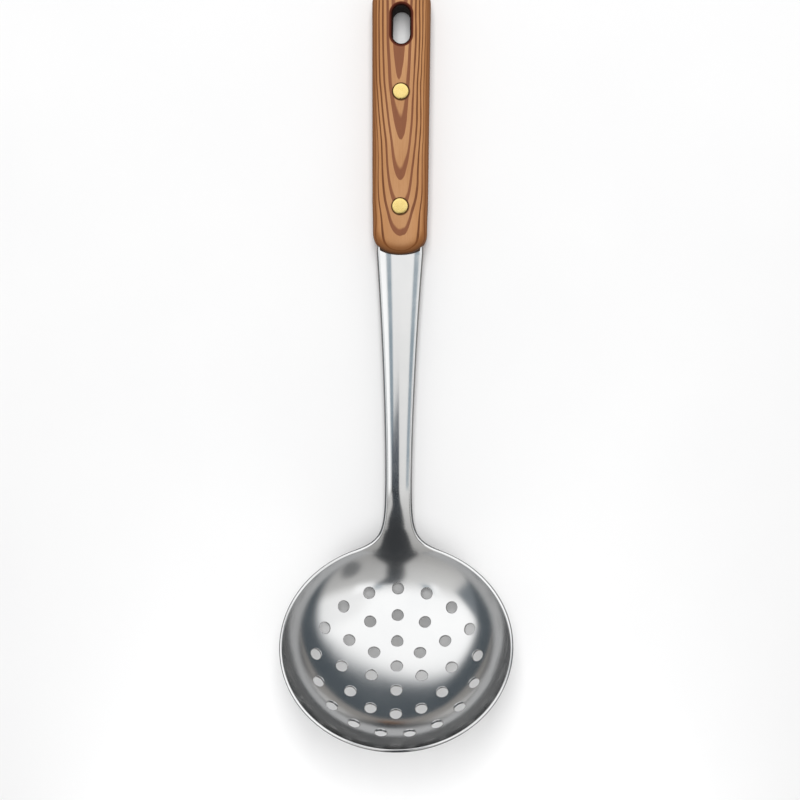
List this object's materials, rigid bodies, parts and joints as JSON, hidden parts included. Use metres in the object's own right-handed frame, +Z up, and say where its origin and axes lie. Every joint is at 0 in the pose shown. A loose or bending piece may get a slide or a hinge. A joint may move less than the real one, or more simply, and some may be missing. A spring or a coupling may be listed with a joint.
{
  "type": "kitchen skimmer",
  "caption": "Kitchen skimmer: perforated round steel bowl on a tapering shank, with a riveted wooden handle that has a hanging slot.",
  "frame": {"origin": "under the middle of the whole skimmer, on the surface it lies on", "axes": "+Y along the handle from the bowl to the butt, +Z up out of the bowl's open side, +X to the right when looking down with the butt pointing away"},
  "size_m": [0.11, 0.361, 0.0692],
  "materials": {
    "blade_steel": "bright, finely brushed",
    "handle_wood": "oiled, satin",
    "rivet_brass": "ground flush, bright"
  },
  "bodies": {
    "root": {"skimmer_blade": "blade_steel", "front_scale": "handle_wood", "rear_scale": "handle_wood", "upper_rivet_pin": "rivet_brass", "upper_rivet_tube": "rivet_brass", "lower_rivet_pin": "rivet_brass", "lower_rivet_tube": "rivet_brass"}
  },
  "joints": []
}
